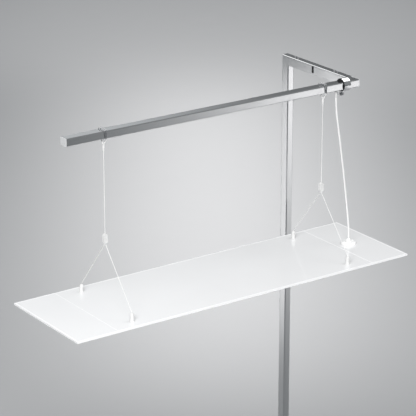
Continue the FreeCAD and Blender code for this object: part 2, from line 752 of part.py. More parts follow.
def make_rosette():
    x, y = "rosette_place", "-reach"
    height, radius = "rosette_height", "rosette_radius"
    base = cylinder("Z", x, y, "panel_top", radius, height)
    doc.recompute()
    rim = circles_at(base.Shape, "Z", value("panel_top + rosette_height"))
    rounded = round_edges(base, value("rosette_round"), rim)
    wires = cylinder("Z", x, y, "panel_top - 1", "cable_hole", 30)
    screw_places = ["%s + %d * rosette_screw" % (x, side) for side in (-1, 1)]
    screws = [cylinder("Z", screw_x, y, "panel_top - 1", 1.8, 30) for screw_x in screw_places]
    keep("power_housing", cut(rounded, wires, *screws))

    top = "panel_top + rosette_height"
    gland = fuse(cylinder("Z", x, y, top, 10, 4), cylinder("Z", x, y, top + " + 4", 8, 5),
                 cone(x, y, top + " + 9", 8, 4.6, 5))
    keep("power_gland", gland)
    heads = [fuse(cylinder("Z", screw_x, y, "panel_top + 2", 1.7, "rosette_height - 2"),
                  cone(screw_x, y, top, 3.4, 2.2, 1.8)) for screw_x in screw_places]
    keep("housing_screws", group(*heads))


# ---------------------------------------------------------------- build, save
def main():
    make_stand()
    make_arm()
    make_end_block()
    make_clamp()
    make_switch()
    make_boom()
    make_suspension()
    make_power_cord()
    make_panel()
    doc.recompute()

    faults = []
    for obj in doc.Objects:
        if "Invalid" in obj.State or "Error" in obj.State:
            faults.append("%s (%s): %s" % (obj.Label, obj.TypeId, obj.State))
    for label, obj in parts.items():
        shape = obj.Shape
        if shape.isNull() or not shape.isValid() or shape.Volume <= 0 or not shape.Solids:
            faults.append("%s has no valid solid" % label)
    if faults:
        raise RuntimeError("; ".join(faults))

    os.makedirs("parts", exist_ok=True)
    for label, obj in parts.items():
        obj.Shape.exportStep("parts/%s.step" % label)
        bounds = obj.Shape.BoundBox
        print("%-20s solids %d  volume %9.0f  z %.1f..%.1f"
              % (label, len(obj.Shape.Solids), obj.Shape.Volume, bounds.ZMin, bounds.ZMax))
    print("%d sub-parts" % len(parts))


main()
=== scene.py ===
"""Looks of the hanging light panel on its post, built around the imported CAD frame.

Metres, in the CAD's own frame: +Z up, the origin under the post's foot, +X along
the boom towards the post, +Y from the boom back to the post.
"""
import math

import bpy
import bmesh
from mathutils import Matrix, Vector


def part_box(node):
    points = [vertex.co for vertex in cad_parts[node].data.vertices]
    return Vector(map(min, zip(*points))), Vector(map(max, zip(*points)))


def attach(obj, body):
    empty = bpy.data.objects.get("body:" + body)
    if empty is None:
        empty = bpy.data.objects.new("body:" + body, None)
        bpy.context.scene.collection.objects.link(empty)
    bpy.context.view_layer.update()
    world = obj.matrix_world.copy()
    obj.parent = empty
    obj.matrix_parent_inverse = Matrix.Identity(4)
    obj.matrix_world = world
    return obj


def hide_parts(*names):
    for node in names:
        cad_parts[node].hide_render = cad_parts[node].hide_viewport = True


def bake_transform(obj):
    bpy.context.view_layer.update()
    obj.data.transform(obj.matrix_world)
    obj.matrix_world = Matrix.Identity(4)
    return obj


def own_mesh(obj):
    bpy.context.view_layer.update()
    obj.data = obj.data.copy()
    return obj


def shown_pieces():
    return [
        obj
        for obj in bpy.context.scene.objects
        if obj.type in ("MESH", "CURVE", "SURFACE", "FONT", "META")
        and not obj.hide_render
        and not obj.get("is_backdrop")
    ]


MM = 0.001

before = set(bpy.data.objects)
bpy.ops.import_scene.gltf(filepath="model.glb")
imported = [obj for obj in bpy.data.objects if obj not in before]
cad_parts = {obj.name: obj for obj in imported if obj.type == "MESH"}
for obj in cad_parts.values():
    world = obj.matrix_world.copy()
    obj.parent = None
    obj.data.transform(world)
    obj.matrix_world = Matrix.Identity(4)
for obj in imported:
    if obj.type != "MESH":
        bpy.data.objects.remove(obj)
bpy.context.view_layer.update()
scene = bpy.context.scene
scene.view_settings.view_transform = "Standard"
scene.view_settings.look = "None"


# ------------------------------------------------------------------- camera
def make_camera():
    data = bpy.data.cameras.new("camera")
    data.sensor_width = 36.0
    data.lens = 176.9
    data.clip_end = 200.0
    data.dof.use_dof = False
    camera = bpy.data.objects.new("camera", data)
    camera.location = (-4.859, -6.352, 4.1953)
    camera.rotation_euler = (math.radians(70.383), 0.0, math.radians(-35.09))
    scene.collection.objects.link(camera)
    scene.camera = camera


make_camera()


# ---------------------------------------------------------- node material kit
class Material:
    """Principled material with small helpers for procedural detail in object space."""

    def __init__(self, name, color, metallic=0.0, roughness=0.4, ior=1.5, **sockets):
        self.material = bpy.data.materials.new(name)
        self.material.use_nodes = True
        self.tree = self.material.node_tree
        self.shader = self.tree.nodes["Principled BSDF"]
        self.color = (*color, 1.0)
        self.shader.inputs["Base Color"].default_value = self.color
        self.shader.inputs["Metallic"].default_value = metallic
        self.shader.inputs["Roughness"].default_value = roughness
        self.shader.inputs["IOR"].default_value = ior
        for socket, amount in sockets.items():
            self.shader.inputs[socket.replace("_", " ")].default_value = amount
        self.place = self.node("ShaderNodeTexCoord").outputs["Object"]
        self.height = None

    def node(self, kind, **settings):
        made = self.tree.nodes.new(kind)
        for key, setting in settings.items():
            setattr(made, key, setting)
        return made

    def link(self, start, end):
        self.tree.links.new(start, end)

    def noise(self, scale, detail=3.0, roughness=0.5):
        """Noise value whose frequency per metre is given along X, Y and Z."""
        mapping = self.node("ShaderNodeMapping")
        mapping.inputs["Scale"].default_value = scale if hasattr(scale, "__len__") else (scale,) * 3
        self.link(self.place, mapping.inputs["Vector"])
        texture = self.node("ShaderNodeTexNoise")
        texture.inputs["Scale"].default_value = 1.0
        texture.inputs["Detail"].default_value = detail
        texture.inputs["Roughness"].default_value = roughness
        self.link(mapping.outputs["Vector"], texture.inputs["Vector"])
        return texture.outputs["Fac"]

    def spread(self, value, low, high, start=0.3, end=0.7):
        """Map a texture's value onto a range."""
        ramp = self.node("ShaderNodeMapRange")
        ramp.inputs["From Min"].default_value = start
        ramp.inputs["From Max"].default_value = end
        ramp.inputs["To Min"].default_value = low
        ramp.inputs["To Max"].default_value = high
        self.link(value, ramp.inputs["Value"])
        return ramp.outputs["Result"]

    def vary_roughness(self, value, low, high):
        self.link(self.spread(value, low, high), self.shader.inputs["Roughness"])
        return self

    def vary_color(self, value, low, high):
        """Scale the base colour between two shares of itself."""
        mix = self.node("ShaderNodeMix", data_type="RGBA")
        mix.inputs["A"].default_value = (*[low * c for c in self.color[:3]], 1.0)
        mix.inputs["B"].default_value = (*[min(1.0, high * c) for c in self.color[:3]], 1.0)
        self.link(self.spread(value, 0.0, 1.0), mix.inputs["Factor"])
        self.link(mix.outputs["Result"], self.shader.inputs["Base Color"])
        return self

    def bump(self, value, depth, strength=1.0):
        """Add relief of a depth in metres."""
        bump = self.node("ShaderNodeBump")
        bump.inputs["Strength"].default_value = strength
        bump.inputs["Distance"].default_value = depth
        self.link(value, bump.inputs["Height"])
        if self.height is not None:
            self.link(self.height, bump.inputs["Normal"])
        self.height = bump.outputs["Normal"]
        self.link(self.height, self.shader.inputs["Normal"])
        return self


def grain_scale(axis, along, across):
    return tuple(along if name == axis else across for name in "XYZ")


def polished_steel(name, axis):
    """Polished stainless tube with faint draw lines along its length."""
    steel = Material(name, (0.7, 0.705, 0.71), metallic=1.0, roughness=0.1)
    lines = steel.noise(grain_scale(axis, 2.0, 900.0), detail=2.0)
    smudges = steel.noise(9.0, detail=4.0)
    steel.vary_roughness(smudges, 0.07, 0.13)
    steel.vary_color(lines, 0.97, 1.03)
    steel.bump(lines, 0.000006)
    steel.bump(steel.noise(grain_scale(axis, 1.5, 30.0), detail=1.0), 0.00003)
    return steel.material


def moulded(name, color, roughness, grain=0.00001):
    """Injection-moulded plastic with a fine skin texture."""
    plastic = Material(name, color, roughness=roughness, ior=1.48)
    skin = plastic.noise(2600.0, detail=2.0)
    plastic.vary_roughness(plastic.noise(120.0), roughness * 0.85, roughness * 1.2)
    plastic.vary_color(plastic.noise(60.0), 0.975, 1.01)
    plastic.bump(skin, grain)
    return plastic.material


def plated(name, color, roughness):
    metal = Material(name, color, metallic=1.0, roughness=roughness)
    metal.vary_roughness(metal.noise(220.0, detail=4.0), roughness * 0.7, roughness * 1.4)
    metal.vary_color(metal.noise(90.0), 0.94, 1.03)
    metal.bump(metal.noise(1500.0), 0.000004)
    return metal.material


def braided(name, color, pitch):
    """Woven cord: two crossing sets of yarns wound round it."""
    cord = Material(name, color, roughness=0.75, Sheen_Weight=0.25)
    weave = []
    for way in (1.0, -1.0):
        mapping = cord.node("ShaderNodeMapping")
        mapping.inputs["Rotation"].default_value = (0.0, math.radians(38.0 * way), math.radians(30.0))
        cord.link(cord.place, mapping.inputs["Vector"])
        wave = cord.node("ShaderNodeTexWave", bands_direction="X")
        wave.inputs["Scale"].default_value = 0.31 / pitch
        wave.inputs["Distortion"].default_value = 0.6
        cord.link(mapping.outputs["Vector"], wave.inputs["Vector"])
        weave.append(wave.outputs["Fac"])
    both = cord.node("ShaderNodeMath", operation="MAXIMUM")
    cord.link(weave[0], both.inputs[0])
    cord.link(weave[1], both.inputs[1])
    cord.vary_color(both.outputs["Value"], 0.86, 1.04)
    cord.bump(both.outputs["Value"], 0.00012)
    cord.bump(cord.noise(5200.0), 0.00004)
    return cord.material


def gloss_white(name, level, roughness=0.07):
    """Stove-enamelled white sheet with a trace of orange peel."""
    paint = Material(name, (level, level, level * 1.005), roughness=roughness, ior=1.5,
                     Coat_Weight=0.35, Coat_Roughness=0.04)
    paint.vary_roughness(paint.noise(14.0, detail=4.0), roughness * 0.8, roughness * 1.5)
    paint.vary_color(paint.noise(3.0, detail=5.0), 0.985, 1.01)
    paint.bump(paint.noise(260.0, detail=2.0), 0.000005)
    return paint.material


def clear_sheet(name):
    sheet = Material(name, (0.9, 0.94, 0.94), roughness=0.08, ior=1.49, Transmission_Weight=0.7)
    sheet.vary_roughness(sheet.noise(30.0), 0.05, 0.12)
    sheet.bump(sheet.noise(800.0), 0.00001)
    return sheet.material


def opal_sheet(name):
    opal = Material(name, (0.9, 0.9, 0.885), roughness=0.42, ior=1.49, Subsurface_Weight=0.2)
    opal.vary_roughness(opal.noise(40.0), 0.36, 0.5)
    opal.vary_color(opal.noise(5.0), 0.98, 1.01)
    opal.bump(opal.noise(1400.0), 0.00002)
    return opal.material


def lamp_board(name):
    """White board with a small yellow lamp every centimetre."""
    board = Material(name, (0.9, 0.88, 0.74), roughness=0.4)
    wave = board.node("ShaderNodeTexWave", bands_direction="X")
    wave.inputs["Scale"].default_value = 31.0
    board.link(board.place, wave.inputs["Vector"])
    board.vary_color(wave.outputs["Fac"], 0.6, 1.05)
    board.bump(wave.outputs["Fac"], 0.0003)
    return board.material


STEEL = {axis: polished_steel("polished_steel_" + axis.lower(), axis) for axis in "XYZ"}
STEEL_PLAIN = plated("plain_steel", (0.5, 0.5, 0.51), 0.35)
SCREW_DARK = plated("dark_screw", (0.2, 0.2, 0.21), 0.28)
KNOB = plated("knob_plating", (0.6, 0.6, 0.61), 0.26)
WIRE = plated("stainless_wire", (0.78, 0.78, 0.79), 0.14)
CAP = moulded("cap_grey", (0.6, 0.605, 0.61), 0.3)
BLACK = moulded("black_moulding", (0.014, 0.014, 0.015), 0.42)
BLACK_GLOSS = moulded("black_rocker", (0.012, 0.012, 0.013), 0.18)
GREY = moulded("grey_gland", (0.3, 0.31, 0.32), 0.45)
WHITE = moulded("white_moulding", (0.68, 0.68, 0.675), 0.28)
HOUSING_WHITE = moulded("housing_white", (0.84, 0.84, 0.835), 0.25)
DRIVER = moulded("driver_case", (0.8, 0.8, 0.79), 0.5)
CORD = braided("white_braid", (0.72, 0.72, 0.715), 0.0009)
FLEX = moulded("white_flex", (0.8, 0.8, 0.795), 0.33, grain=0.00002)
PANEL_WHITE = gloss_white("panel_enamel", 0.8)
# brighter than the panel enamel: painted highlight along the cover joints
SEAM_HIGHLIGHT_WHITE = gloss_white("seam_highlight_enamel", 0.88, 0.2)
# same enamel as the panel, made brighter: painted highlight on the panel's side edges
RAIL_HIGHLIGHT_WHITE = gloss_white("rail_highlight_enamel", 0.93, 0.12)
FILM = moulded("reflector_film", (0.88, 0.88, 0.88), 0.6)
CLEAR = clear_sheet("clear_guide")
OPAL = opal_sheet("opal_sheet")
LAMPS = lamp_board("lamp_board")


# --------------------------------------------------------------------- cords
POWER_ROUTE = [
    (-79.0, 1946.0), (-79.0, 1898.0), (-64.8, 1815.0), (-48.5, 1718.0), (-32.5, 1618.0),
    (-18.0, 1520.0), (-6.2, 1430.0), (0.5, 1376.0), (0.5, 1341.0),
]
AXIS_Y = -0.412
SIDES = ("left", "right")
WAYS = {"front": -1, "back": 1}
CORD_RADIUS = 1.5 * MM
CORD_IN_FERRULE = 1.5 * MM
LEG_RADIUS = 1.3 * MM
LEG_PLACE = 3.6 * MM
LEG_DROP = 5 * MM
LEG_IN_ADJUSTER = 6 * MM
STUD_PLACE = 174 * MM
FLEX_RADIUS = 3.5 * MM


def hang_x(side):
    low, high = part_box(side + "_cord")
    return (low.x + high.x) / 2


def nurbs_curve(name, points, radius, material):
    """Round cord along one smooth open spline."""
    curve = bpy.data.curves.new(name, "CURVE")
    curve.dimensions = "3D"
    curve.resolution_u = 24
    curve.bevel_depth = radius
    curve.bevel_resolution = 5
    curve.use_fill_caps = True
    spline = curve.splines.new("NURBS")
    spline.points.add(len(points) - 1)
    for point, place in zip(spline.points, points):
        point.co = (*place, 1.0)
    spline.order_u = 3
    spline.use_endpoint_u = True
    curve.materials.append(material)
    cord = bpy.data.objects.new(name, curve)
    scene.collection.objects.link(cord)
    return cord


def make_suspension_cords():
    for side in SIDES:
        low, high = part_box(side + "_cord")
        x = hang_x(side)
        top = high.z + CORD_IN_FERRULE
        steps = 6
        points = [(x, AXIS_Y, top + (low.z - top) * k / steps) for k in range(steps + 1)]
        cord = nurbs_curve(side + "_suspension", points, CORD_RADIUS, CORD)
        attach(cord, "cords")
        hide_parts(side + "_cord")


def make_bridle_legs():
    for side in SIDES:
        adjuster_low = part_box(side + "_adjuster")[0].z
        stud_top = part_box(side + "_front_stud")[1].z
        x = hang_x(side)
        for way, sign in WAYS.items():
            near = AXIS_Y + sign * LEG_PLACE
            far = AXIS_Y + sign * STUD_PLACE
            bend = Vector((x, near, adjuster_low - LEG_DROP))
            end = Vector((x, far, stud_top))
            start = Vector((x, near, adjuster_low + LEG_IN_ADJUSTER))
            below = bend + (end - bend).normalized() * (start - bend).length
            points = [tuple(p) for p in (start, bend, below, end)]
            leg = nurbs_curve("%s_%s_line" % (side, way), points, LEG_RADIUS, CORD)
            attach(leg, "panel")
            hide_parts("%s_%s_leg" % (side, way))


def spline_points(points):
    """Points along the NURBS spline through a route, from the curve's own evaluation."""
    line = nurbs_curve("route", points, 0.0, FLEX)
    bpy.context.view_layer.update()
    mesh = bpy.data.meshes.new_from_object(line)
    places = [vertex.co.copy() for vertex in mesh.vertices]
    bpy.data.objects.remove(line)
    bpy.data.meshes.remove(mesh)
    return places


def tube_mesh(name, places, radius, sides, material):
    """Closed round tube whose sections stand square to a line of points in an XZ plane."""
    mesh = bmesh.new()
    rings = []
    for number, place in enumerate(places):
        before = places[max(number - 1, 0)]
        after = places[min(number + 1, len(places) - 1)]
        along = (after - before).normalized()
        across = Vector((0, 1, 0))
        other = along.cross(across)
        ring = []
        for step in range(sides):
            angle = 2 * math.pi * step / sides
            outwards = math.cos(angle) * across + math.sin(angle) * other
            ring.append(mesh.verts.new(place + radius * outwards))
        rings.append(ring)
    for lower, upper in zip(rings, rings[1:]):
        for step in range(sides):
            nxt = (step + 1) % sides
            mesh.faces.new((lower[step], lower[nxt], upper[nxt], upper[step]))
    mesh.faces.new(rings[0])
    mesh.faces.new(rings[-1][::-1])
    return finish_mesh(name, mesh, material, 60)


def finish_mesh(name, mesh, material, sharp_angle=35):
    """Turn a bmesh into a smooth-shaded object with sharp edges above an angle."""
    bmesh.ops.recalc_face_normals(mesh, faces=mesh.faces)
    data = bpy.data.meshes.new(name)
    mesh.to_mesh(data)
    mesh.free()
    data.polygons.foreach_set("use_smooth", [True] * len(data.polygons))
    data.set_sharp_from_angle(angle=math.radians(sharp_angle))
    data.materials.append(material)
    made = bpy.data.objects.new(name, data)
    scene.collection.objects.link(made)
    return made


def make_power_cord():
    points = [(x * MM, AXIS_Y, z * MM) for x, z in POWER_ROUTE]
    places = spline_points(points)
    cord = tube_mesh("power_flex", places, FLEX_RADIUS, 24, FLEX)
    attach(cord, "cords")
    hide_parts("power_cord")
    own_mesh(cord)


make_suspension_cords()
make_bridle_legs()
make_power_cord()


# ------------------------------------------------------------ mesh work tools
def lathe(name, profile, material, origin=(0, 0, 0), turn=None, sides=64, sharp_angle=35):
    """Solid of revolution about Z from (radius, height) points in millimetres."""
    mesh = bmesh.new()
    rings = []
    for radius, height in profile:
        if radius == 0:
            rings.append([mesh.verts.new((0, 0, height * MM))])
            continue
        rings.append([mesh.verts.new((radius * MM * math.cos(2 * math.pi * k / sides),
                                      radius * MM * math.sin(2 * math.pi * k / sides), height * MM))
                      for k in range(sides)])
    for first, second in zip(rings, rings[1:]):
        for k in range(sides):
            nxt = (k + 1) % sides
            corners = [first[k % len(first)], first[nxt % len(first)],
                       second[nxt % len(second)], second[k % len(second)]]
            unique = list(dict.fromkeys(corners))
            if len(unique) > 2:
                mesh.faces.new(unique)
    made = finish_mesh(name, mesh, material, sharp_angle)
    place = Matrix.Translation(Vector(origin))
    if turn:
        place = place @ Matrix.Rotation(math.radians(turn[1]), 4, turn[0])
    made.data.transform(place)
    return made


def rounded(points, radius, steps=4):
    """Replace inner corners of a profile by arcs of up to one radius."""
    result = [points[0]]
    for before, corner, after in zip(points, points[1:], points[2:]):
        a, b, c = Vector(before), Vector(corner), Vector(after)
        reach = min(radius, 0.45 * (a - b).length, 0.45 * (c - b).length)
        first, last = b + (a - b).normalized() * reach, b + (c - b).normalized() * reach
        for step in range(steps + 1):
            share = step / steps
            place = (1 - share) ** 2 * first + 2 * share * (1 - share) * b + share ** 2 * last
            result.append(tuple(place))
    result.append(points[-1])
    return result


def dress(piece, body, slot, *replaced):
    """Ride a piece on its body and hide the CAD nodes it stands for. The slot argument is not used."""
    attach(piece, body)
    if replaced:
        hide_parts(*replaced)
    return piece


def soften(piece, width, segments=2, angle=40):
    """Small machined round on a piece's sharp edges."""
    bevel = piece.modifiers.new("soft_edges", "BEVEL")
    bevel.width = width * MM
    bevel.segments = segments
    bevel.limit_method = "ANGLE"
    bevel.angle_limit = math.radians(angle)
    bevel.harden_normals = False
    return piece


def carve(piece, tool):
    """Cut a hidden helper shape out of a piece and drop the helper."""
    cut = piece.modifiers.new("cut", "BOOLEAN")
    cut.object = tool
    cut.operation = "DIFFERENCE"
    cut.solver = "EXACT"
    bpy.context.view_layer.update()
    evaluated = piece.evaluated_get(bpy.context.evaluated_depsgraph_get())
    data = bpy.data.meshes.new_from_object(evaluated)
    piece.modifiers.clear()
    piece.data = data
    bpy.data.objects.remove(tool)
    return piece


# ------------------------------------------------------- carried-over CAD nodes
def paint(material, *nodes):
    for name in nodes:
        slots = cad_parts[name].data.materials
        slots.clear()
        slots.append(material)


def dress_cad_nodes():
    paint(STEEL["Z"], "post_tube", "foot_trim", "floor_flange")
    paint(STEEL["Y"], "arm_tube", "arm_end_plate")
    paint(STEEL["X"], "boom_tube", "end_block", "collar_sleeve", "clamp_boss")
    paint(STEEL_PLAIN, "arm_nut_bars", "rocker_pin")
    paint(SCREW_DARK, "arm_screws", "clamp_screw")
    paint(CAP, "boom_end_cap", "end_block_cap")
    paint(BLACK, "switch_housing", "collar_bush")
    paint(BLACK_GLOSS, "switch_rocker")
    paint(GREY, "mains_gland", "mains_gland_nut")
    paint(DRIVER, "led_driver")
    paint(WIRE, "left_sling", "right_sling")
    paint(PANEL_WHITE, "panel_left_cover", "panel_main_cover", "panel_right_cover")
    # rails in the brighter enamel: painted highlight along the panel's edges
    paint(RAIL_HIGHLIGHT_WHITE, "panel_rail_front", "panel_rail_back", "panel_rail_left", "panel_rail_right")
    paint(FILM, "reflector_sheet")
    paint(CLEAR, "light_guide")
    paint(OPAL, "diffuser_sheet")
    paint(LAMPS, "led_strip_front", "led_strip_back")
    paint(HOUSING_WHITE, "housing_screws")
    paint(KNOB, "clamp_knob")
    for name in ("panel_rail_front", "panel_rail_back", "panel_rail_left", "panel_rail_right",
                 "panel_left_cover", "panel_main_cover", "panel_right_cover"):
        soften(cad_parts[name], 0.35)
    for name in ("switch_housing", "switch_rocker", "floor_flange", "boom_end_cap", "end_block_cap"):
        soften(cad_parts[name], 0.5)


dress_cad_nodes()


# ------------------------------------------------------------------ new pieces
def make_ferrules():
    profile = rounded([(0, 0), (3.4, 0), (4.1, 2.5), (4.1, 9), (4.6, 11), (4.6, 17), (3.6, 23), (0, 23)], 1.4)
    for side in SIDES:
        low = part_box(side + "_ferrule")[0]
        ferrule = lathe(side + "_crimp", profile, WHITE, (hang_x(side), AXIS_Y, low.z), sides=40)
        dress(ferrule, "boom", "plastic_white", side + "_ferrule")


def stadium(width, height, steps):
    """Outline of a flat bar with round ends, in the XZ plane."""
    radius = width / 2
    points = []
    for centre, start in ((height - radius, 0.0), (radius, math.pi)):
        for step in range(steps + 1):
            angle = start + math.pi * step / steps
            points.append((radius * math.cos(angle), centre + radius * math.sin(angle)))
    return points


def flat_bar(name, outline, depth, material):
    """Plate of an XZ outline in millimetres, centred on Y."""
    mesh = bmesh.new()
    faces = []
    for y in (-depth / 2, depth / 2):
        faces.append([mesh.verts.new((x * MM, y * MM, z * MM)) for x, z in outline])
    mesh.faces.new(faces[0])
    mesh.faces.new(faces[1][::-1])
    count = len(outline)
    for k in range(count):
        nxt = (k + 1) % count
        mesh.faces.new((faces[0][k], faces[1][k], faces[1][nxt], faces[0][nxt]))
    return finish_mesh(name, mesh, material, 50)


def make_adjusters():
    for side in SIDES:
        low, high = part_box(side + "_adjuster")
        height = (high.z - low.z) / MM
        width = (high.x - low.x) / MM
        depth = (high.y - low.y) / MM
        piece = flat_bar(side + "_gripper", stadium(width, height, 16), depth, WHITE)
        for face in (-1, 1):
            groove = flat_bar("groove", stadium(5.0, height - 15, 10), 3.0, WHITE)
            groove.data.transform(Matrix.Translation((0, face * depth / 2 * MM, 7.5 * MM)))
            carve(piece, groove)
        bore = lathe("bore", [(0, -2), (1.9, -2), (1.9, height + 2), (0, height + 2)], WHITE, sides=24)
        carve(piece, bore)
        piece.data.transform(Matrix.Translation((hang_x(side), AXIS_Y, low.z)))
        soften(piece, 1.1, 3, 50)
        dress(piece, "panel", "plastic_white", side + "_adjuster")
        for place in (0.36, 0.66):
            pin = lathe("%s_gripper_pin_%d" % (side, place * 100),
                        rounded([(0, 0), (1.9, 0), (1.9, 1.1), (0.9, 1.5), (0, 1.5)], 0.4),
                        WHITE, (hang_x(side), low.y + 1.4 * MM, low.z + place * height * MM), ("X", 90), 24)
            dress(pin, "panel", "plastic_white")


def make_studs():
    profile = rounded([(0, 0), (10, 0), (10, 2.2), (8.2, 3.2), (7.5, 4.5), (7.5, 25), (6.6, 28.5),
                       (3.6, 32.4), (1.5, 33), (1.5, 30), (0, 30)], 1.2)
    for side in SIDES:
        for way in WAYS:
            node = "%s_%s_stud" % (side, way)
            low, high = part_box(node)
            centre = (low + high) / 2
            stud = lathe("%s_%s_holder" % (side, way), profile, WHITE, (centre.x, centre.y, low.z), sides=48)
            dress(stud, "panel", "plastic_white", node)


def make_power_housing():
    low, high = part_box("power_housing")
    centre = (low + high) / 2
    radius = (high.x - low.x) / 2 / MM
    height = (high.z - low.z) / MM
    profile = rounded([(0, 0), (radius, 0), (radius, height * 0.3), (radius - 0.6, height * 0.34),
                       (radius - 0.6, height * 0.4), (radius, height * 0.44), (radius - 1.5, height * 0.7),
                       (radius - 6, height), (13, height), (12, height - 1.2), (0, height - 1.2)], 1.6)
    housing = lathe("supply_housing", profile, HOUSING_WHITE, (centre.x, centre.y, low.z), sides=96)
    dress(housing, "panel", "plastic_white", "power_housing")

    low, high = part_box("power_gland")
    centre = (low + high) / 2
    profile = [(0, 0), (9.6, 0), (9.6, 1), (8.6, 1.6), (8.6, 3), (8.3, 4), (8.3, 9.5), (6.4, 12.4),
               (4.4, 14), (3.6, 14), (3.6, 10), (0, 10)]
    gland = lathe("supply_gland", rounded(profile, 0.8), HOUSING_WHITE, (0, 0, 0), sides=96)
    for vertex in gland.data.vertices:
        reach = math.hypot(vertex.co.x, vertex.co.y)
        if reach > 7 * MM and vertex.co.z > 3.5 * MM:
            angle = math.atan2(vertex.co.y, vertex.co.x)
            swell = 1 + 0.05 * math.cos(12 * angle)
            vertex.co.x *= swell
            vertex.co.y *= swell
    gland.data.transform(Matrix.Translation((centre.x, centre.y, low.z - 1.2 * MM)))
    dress(gland, "panel", "plastic_white", "power_gland")


def make_cord_outlet():
    """Threaded nose under the boom and the flexible sleeve that the power cord leaves through."""
    low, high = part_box("cord_outlet")
    x = (low.x + high.x) / 2
    boom_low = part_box("boom_tube")[0].z
    profile = rounded([(0, -2), (3.4, -2), (3.4, 0), (5, 0), (5, 8), (4.2, 9), (0, 9)], 0.6)
    nose = lathe("outlet_nose", profile, WHITE, (x, AXIS_Y, boom_low), ("X", 180), 48)
    dress(nose, "boom", "plastic_white", "cord_outlet")
    rings = [(4.6, 0), (5, 1), (5, 3)]
    for k in range(4):
        height = 4.5 + 4.5 * k
        outer = 4.9 - 0.25 * k
        rings += [(outer - 0.6, height - 0.8), (outer, height),
                  (outer, height + 2.2), (outer - 0.6, height + 3)]
    profile = [(0, 0)] + rings + [(3.9, 23.5), (3.52, 24.5), (0, 24.5)]
    sleeve = lathe("outlet_sleeve", rounded(profile, 0.4, 2), WHITE,
                   (x, AXIS_Y, boom_low - 8.2 * MM), ("X", 180), 40)
    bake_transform(sleeve)


def make_sling_sleeves():
    """White sleeves over the two legs of each wire sling, from the ferrule up to the boom."""
    axis_z = (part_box("boom_tube")[0].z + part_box("boom_tube")[1].z) / 2
    ferrule_end = Vector((1.6, -42.0)) * MM
    boom_end = Vector((20.7, -14.4)) * MM
    along = (boom_end - ferrule_end).normalized()
    tilt = math.atan2(along.x, along.y)
    profile = rounded([(0, 1), (2.4, 1), (2.4, 29), (1.6, 30), (0, 30)], 0.5)
    for side in SIDES:
        for way, sign in WAYS.items():
            sleeve = lathe("%s_%s_sleeve" % (side, way), profile, HOUSING_WHITE,
                           (hang_x(side), AXIS_Y + sign * ferrule_end.x, axis_z + ferrule_end.y),
                           ("X", -sign * math.degrees(tilt)), 24)
            dress(sleeve, "boom", "plastic_white")


def make_second_turns():
    """Second turn of each wire sling, beside the first over the boom and joining it under the boom."""
    pitch = 7.5 * MM
    join_height = 8 * MM
    join_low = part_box("boom_tube")[0].z - 2 * MM
    for side in SIDES:
        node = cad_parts[side + "_sling"]
        data = node.data.copy()
        for vertex in data.vertices:
            share = min(1.0, max(0.0, (vertex.co.z - join_low) / join_height))
            vertex.co.x -= pitch * share
        turn = bpy.data.objects.new(side + "_sling_turn", data)
        turn.matrix_world = node.matrix_world.copy()
        scene.collection.objects.link(turn)
        dress(turn, "boom", "wire_steel")


def make_highlight_seam_strips():
    """Low rounded strips that close the two joints between the panel's covers; their brighter enamel is a
    painted highlight line along each joint.
    """
    outline = [(-1.9, -0.3), (1.9, -0.3), (1.6, 0.3), (0.7, 0.5), (-0.7, 0.5), (-1.6, 0.3)]
    for side, cover in (("left", "panel_left_cover"), ("right", "panel_right_cover")):
        low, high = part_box(cover)
        x = high.x if side == "left" else low.x
        length = (high.y - low.y) / MM
        strip = flat_bar(side + "_seam_strip", outline, length, SEAM_HIGHLIGHT_WHITE)
        strip.data.transform(Matrix.Translation((x, (low.y + high.y) / 2, high.z)))
        dress(strip, "panel", "panel_cover")


def make_knob():
    """Fluted clamp knob with a rounded lower edge."""
    low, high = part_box("clamp_knob")
    centre = (low + high) / 2
    radius = (high.x - low.x) / 2 / MM
    height = (high.z - low.z) / MM
    profile = rounded([(0, 0), (radius - 3, 0), (radius - 0.8, 1.2), (radius, 3), (radius, height - 3),
                       (radius - 1, height - 1.2), (6.5, height - 1), (6.5, height), (3.05, height),
                       (3.05, 4), (0, 4)], 1.0)
    knob = lathe("clamp_grip", profile, KNOB, sides=120)
    for vertex in knob.data.vertices:
        reach = math.hypot(vertex.co.x, vertex.co.y)
        if reach > (radius - 2.5) * MM:
            angle = math.atan2(vertex.co.y, vertex.co.x)
            pinch = 1 - 0.07 * max(0.0, math.cos(12 * angle)) ** 1.5
            vertex.co.x *= pinch
            vertex.co.y *= pinch
    knob.data.transform(Matrix.Translation((centre.x, centre.y, low.z)))
    dress(knob, "clamp", "knob_metal", "clamp_knob")


def make_collar():
    """Collar sleeve with turned, slightly rounded lips."""
    low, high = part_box("collar_sleeve")
    centre = (low + high) / 2
    length = (high.x - low.x) / MM
    outer = (high.z - low.z) / 2 / MM
    bore = 24.2
    profile = rounded([(8, length), (outer, length), (outer, 0), (bore, 0), (bore, length - 2),
                       (8, length - 2), (8, length)], 0.9)
    collar = lathe("collar_ring", profile, STEEL["X"], (low.x, centre.y, centre.z), ("Y", 90), 96)
    dress(collar, "stand", "steel_polished", "collar_sleeve")


make_ferrules()
make_adjusters()
make_studs()
make_power_housing()
make_cord_outlet()
make_sling_sleeves()
make_second_turns()
make_highlight_seam_strips()
make_knob()
make_collar()


# ----------------------------------------------------------- floor and lights
def collection_of(name, objects):
    """Collection used only to say what a light falls on."""
    made = bpy.data.collections.new(name)
    for item in objects:
        made.objects.link(item)
    return made


def make_floor():
    data = bpy.data.meshes.new("floor")
    half = 60.0
    corners = [(-half, -half, 0), (half, -half, 0), (half, half, 0), (-half, half, 0)]
    data.from_pydata(corners, [], [(0, 1, 2, 3)])
    floor = bpy.data.objects.new("floor", data)
    scene.collection.objects.link(floor)
    paper = Material("floor_paper", (0.447, 0.468, 0.484), roughness=0.9)
    paper.vary_roughness(paper.noise(5.0), 0.85, 0.95)
    data.materials.append(paper.material)
    floor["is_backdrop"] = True
    return floor


